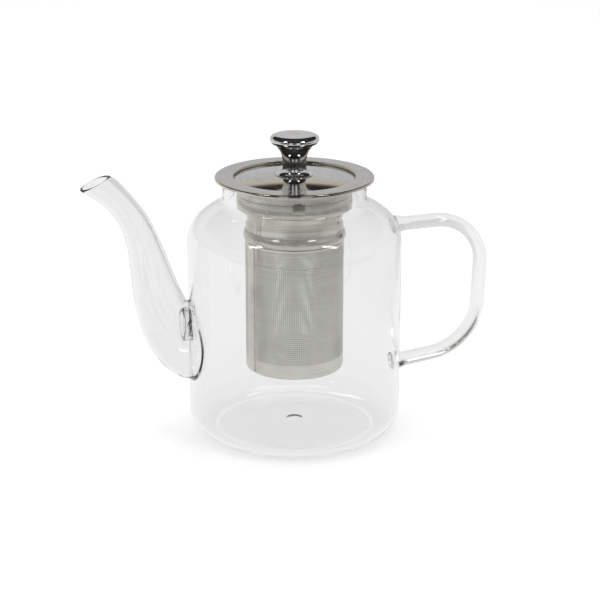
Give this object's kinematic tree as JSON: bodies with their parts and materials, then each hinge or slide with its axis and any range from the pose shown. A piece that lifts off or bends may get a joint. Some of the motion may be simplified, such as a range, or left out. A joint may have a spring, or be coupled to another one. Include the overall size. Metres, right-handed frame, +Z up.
{
  "type": "glass teapot",
  "caption": "Clear glass teapot with fused gooseneck spout and bent-bar handle, a lift-out perforated steel infuser and a lift-off domed steel lid.",
  "frame": {"origin": "centre of the foot ring, on the surface the pot stands on", "axes": "+Z up along the pot's axis, the spout points along -X and the handle along +X, so the body is symmetrical about the XZ plane"},
  "size_m": [0.2111, 0.11, 0.1572],
  "materials": {
    "clear_glass": "clear blown borosilicate glass, fire polished",
    "satin_steel": "satin stainless sheet",
    "perforated_steel": "fine etched perforated stainless sheet, satin",
    "polished_steel": "mirror polished stainless steel"
  },
  "bodies": {
    "pot": {"glass_body": "clear_glass", "spout": "clear_glass", "handle": "clear_glass"},
    "infuser": {"infuser_collar": "satin_steel", "mesh_tube": "perforated_steel", "infuser_base": "satin_steel"},
    "lid": {"lid_cover": "polished_steel", "lid_ring": "satin_steel", "knob": "polished_steel", "knob_washer": "satin_steel", "knob_screw": "satin_steel"}
  },
  "joints": [
    {"name": "infuser_lift", "type": "slide", "parent": "pot", "child": "infuser", "axis": [0, 0, 1], "range_m": [0, 0.12]},
    {"name": "lid_lift", "type": "slide", "parent": "infuser", "child": "lid", "axis": [0, 0, 1], "range_m": [0, 0.06]}
  ]
}
